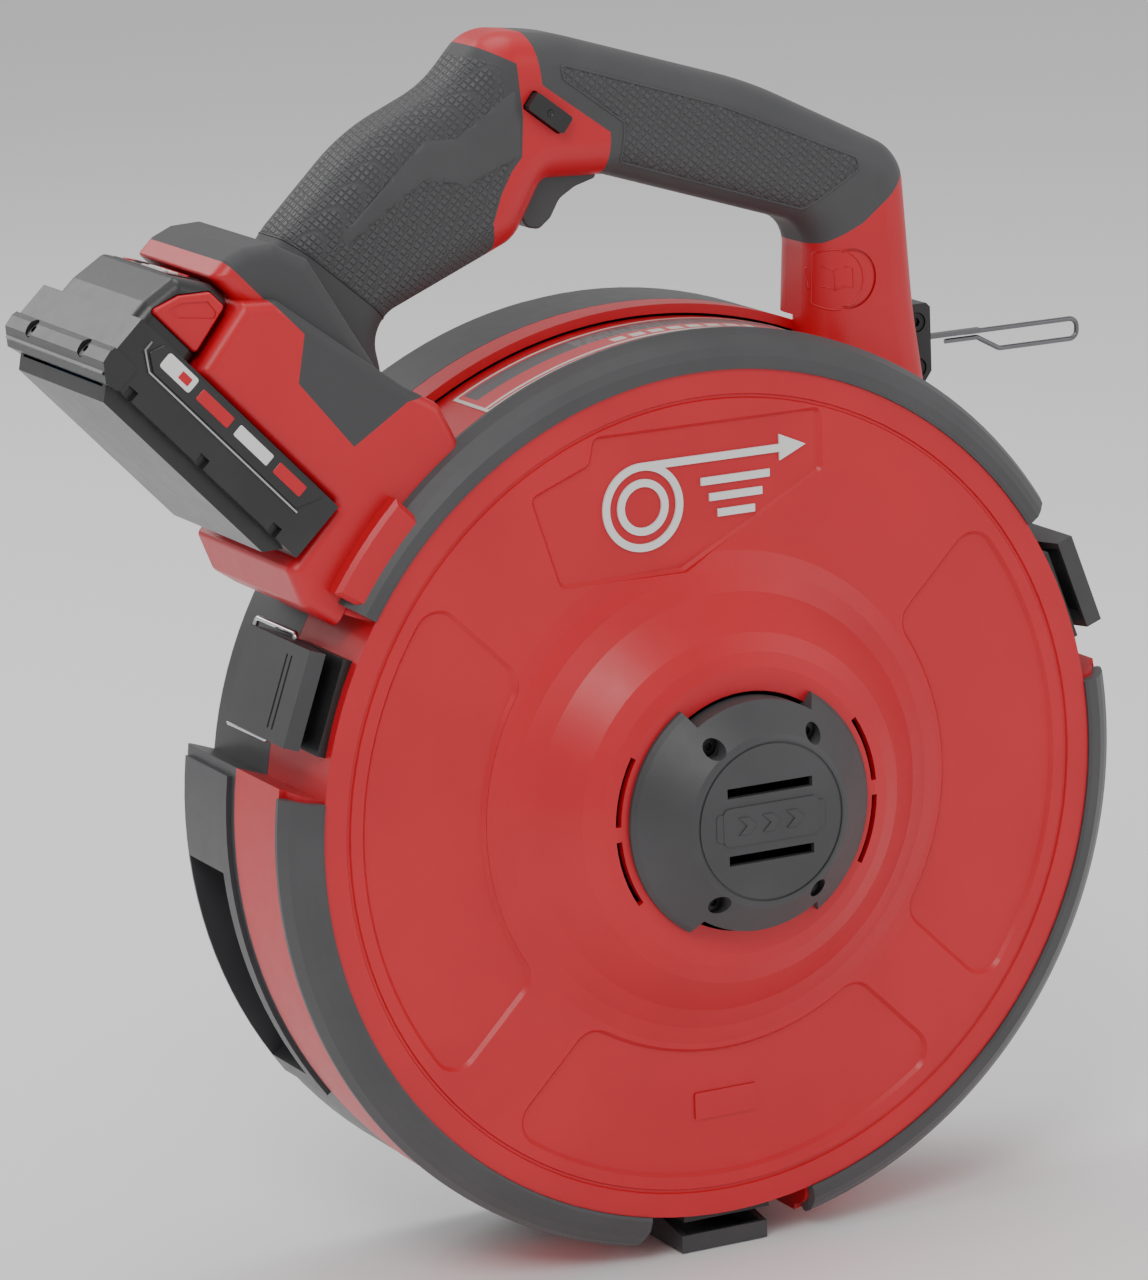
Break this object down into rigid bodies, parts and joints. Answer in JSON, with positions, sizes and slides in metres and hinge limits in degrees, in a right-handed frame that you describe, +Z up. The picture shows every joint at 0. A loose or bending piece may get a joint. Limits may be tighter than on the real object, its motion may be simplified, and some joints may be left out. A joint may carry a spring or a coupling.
{
  "type": "fish tape reel",
  "caption": "Hand-held cordless fish tape reel: round powered housing with carrying handle, slide-on battery, and a latched tape drum with an outlet for the steel tape.",
  "frame": {"origin": "on the drum axis, in the plane of the rear face", "axes": "+Z up through the handle, +Y out of the rear face along the drum axis, +X towards the tape outlet"},
  "size_m": [0.3981, 0.1275, 0.4201],
  "materials": {
    "red_plastic": "satin moulded nylon, fine grain",
    "drum_plastic": "satin moulded nylon, fine grain",
    "dark_plastic": "satin moulded nylon",
    "black_plastic": "satin moulded nylon",
    "latch_plastic": "satin moulded nylon",
    "battery_plastic": "fine grained moulded nylon",
    "gauge_plastic": "smooth",
    "bumper_rubber": "satin overmoulded rubber",
    "grip_rubber": "matte overmoulded rubber with raised texture",
    "label_film": "printed film",
    "emblem_print": "raised and printed",
    "black_screw": "black oxide",
    "bail_steel": "bright zinc plate",
    "spring_steel": "drawn wire",
    "gear_steel": "machined",
    "tape_steel": "flat steel tape",
    "motor_iron": "laminated stack",
    "copper_wire": "enamelled copper wire",
    "contact_brass": "stamped",
    "cell_can": "sleeved cell",
    "board_plastic": "circuit board"
  },
  "bodies": {
    "base": {"bumper_left": "bumper_rubber", "bumper_right": "bumper_rubber", "bumper_top": "bumper_rubber", "cap_screws": "black_screw", "cassette_shell": "drum_plastic", "control_board": "board_plastic", "drum_axle": "gear_steel", "emblem": "emblem_print", "front_grip": "grip_rubber", "front_housing": "red_plastic", "gearbox_housing": "black_plastic", "handle_screws": "black_screw", "handle_shell_rear": "red_plastic", "inner_plate": "red_plastic", "latch_base_bottom": "latch_plastic", "latch_base_left": "latch_plastic", "latch_base_right": "latch_plastic", "latch_pins": "bail_steel", "motor_bearings": "gear_steel", "motor_cap": "dark_plastic", "motor_stator": "motor_iron", "motor_windings": "copper_wire", "nozzle_block": "black_plastic", "nozzle_bush": "bail_steel", "nozzle_screws": "black_screw", "output_bearing": "gear_steel", "rating_label": "label_film", "rear_grip": "grip_rubber", "ring_gear": "gear_steel", "terminal_block": "black_plastic", "trigger_spring": "spring_steel", "trigger_switch": "black_plastic"},
    "trigger_body": {"trigger": "dark_plastic"},
    "selector_body": {"selector": "black_plastic"},
    "rotor": {"rotor_shaft": "gear_steel", "rotor_core": "motor_iron", "motor_fan": "black_plastic"},
    "reel": {"planet_pins": "gear_steel", "planet_carrier": "gear_steel", "tape_reel": "drum_plastic", "tape_coil": "tape_steel"},
    "planet_1": {"planet_gear_1": "gear_steel"},
    "planet_2": {"planet_gear_2": "gear_steel"},
    "planet_3": {"planet_gear_3": "gear_steel"},
    "tape": {"tape_end": "tape_steel"},
    "battery": {"battery_tray": "battery_plastic", "battery_top": "battery_plastic", "battery_cells": "cell_can", "battery_screws": "black_screw", "battery_contacts": "contact_brass", "gauge_panel": "gauge_plastic"},
    "release_left": {"release_button_left": "red_plastic"},
    "release_right": {"release_button_right": "red_plastic"},
    "gauge_key": {"gauge_button": "gauge_plastic"},
    "lever_left": {"latch_lever_left": "latch_plastic"},
    "bail_left": {"latch_bail_left": "bail_steel"},
    "lever_right": {"latch_lever_right": "latch_plastic"},
    "bail_right": {"latch_bail_right": "bail_steel"},
    "lever_bottom": {"latch_lever_bottom": "latch_plastic"},
    "bail_bottom": {"latch_bail_bottom": "bail_steel"}
  },
  "joints": [
    {"name": "reel_spin", "type": "hinge", "parent": "base", "child": "reel", "pos_m": [0, -0.03, 0], "axis": [0, 1, 0], "continuous": true},
    {"name": "rotor_spin", "type": "hinge", "parent": "base", "child": "rotor", "pos_m": [0, -0.09, 0], "axis": [0, 1, 0], "continuous": true},
    {"name": "planet_1_spin", "type": "hinge", "parent": "reel", "child": "planet_1", "pos_m": [0, -0.068, 0.015], "axis": [0, 1, 0], "continuous": true},
    {"name": "planet_2_spin", "type": "hinge", "parent": "reel", "child": "planet_2", "pos_m": [-0.01299, -0.068, -0.0075], "axis": [0, 1, 0], "continuous": true},
    {"name": "planet_3_spin", "type": "hinge", "parent": "reel", "child": "planet_3", "pos_m": [0.01299, -0.068, -0.0075], "axis": [0, 1, 0], "continuous": true},
    {"name": "tape_pull", "type": "slide", "parent": "base", "child": "tape", "axis": [1, 0, 0], "range_m": [0, 0.08]},
    {"name": "trigger_press", "type": "slide", "parent": "base", "child": "trigger_body", "axis": [-0.5501, 0, 0.8351], "range_m": [0, 0.004], "stiffness_N_per_m": 500, "springref_m": -0.004, "deforming": ["trigger_spring"]},
    {"name": "selector_shift", "type": "slide", "parent": "base", "child": "selector_body", "axis": [0, 1, 0], "range_m": [-0.0035, 0.0035]},
    {"name": "battery_slide", "type": "slide", "parent": "base", "child": "battery", "axis": [-0.6845, 0, 0.729], "range_m": [0, 0.12]},
    {"name": "release_left_press", "type": "slide", "parent": "battery", "child": "release_left", "axis": [0, 1, 0], "range_m": [0, 0.0025], "stiffness_N_per_m": 500, "springref_m": -0.002},
    {"name": "release_right_press", "type": "slide", "parent": "battery", "child": "release_right", "axis": [0, -1, 0], "range_m": [0, 0.0025], "stiffness_N_per_m": 500, "springref_m": -0.002},
    {"name": "gauge_press", "type": "slide", "parent": "battery", "child": "gauge_key", "axis": [-0.2856, 0, -0.9584], "range_m": [0, 0.0008], "stiffness_N_per_m": 200, "springref_m": -0.001},
    {"name": "lever_left_swing", "type": "hinge", "parent": "base", "child": "lever_left", "pos_m": [-0.14518, -0.041, 0.05284], "axis": [-0.342, 0, -0.9397], "range_deg": [0, 100]},
    {"name": "bail_left_swing", "type": "hinge", "parent": "lever_left", "child": "bail_left", "pos_m": [-0.14217, -0.054, 0.05175], "axis": [-0.342, 0, -0.9397], "range_deg": [-140, 0]},
    {"name": "lever_right_swing", "type": "hinge", "parent": "base", "child": "lever_right", "pos_m": [0.14518, -0.041, 0.05284], "axis": [-0.342, 0, 0.9397], "range_deg": [0, 100]},
    {"name": "bail_right_swing", "type": "hinge", "parent": "lever_right", "child": "bail_right", "pos_m": [0.14217, -0.054, 0.05175], "axis": [-0.342, 0, 0.9397], "range_deg": [-140, 0]},
    {"name": "lever_bottom_swing", "type": "hinge", "parent": "base", "child": "lever_bottom", "pos_m": [0, -0.041, -0.1545], "axis": [1, 0, 0], "range_deg": [0, 100]},
    {"name": "bail_bottom_swing", "type": "hinge", "parent": "lever_bottom", "child": "bail_bottom", "pos_m": [0, -0.054, -0.1513], "axis": [1, 0, 0], "range_deg": [-140, 0]}
  ],
  "couplings": [
    {"joint": "rotor_spin", "follows": "reel_spin", "ratio": 5},
    {"joint": "planet_1_spin", "follows": "reel_spin", "ratio": -2.6667},
    {"joint": "planet_2_spin", "follows": "reel_spin", "ratio": -2.6667},
    {"joint": "planet_3_spin", "follows": "reel_spin", "ratio": -2.6667},
    {"joint": "bail_left_swing", "follows": "lever_left_swing", "ratio": -1.4},
    {"joint": "bail_right_swing", "follows": "lever_right_swing", "ratio": -1.4},
    {"joint": "bail_bottom_swing", "follows": "lever_bottom_swing", "ratio": -1.4}
  ]
}
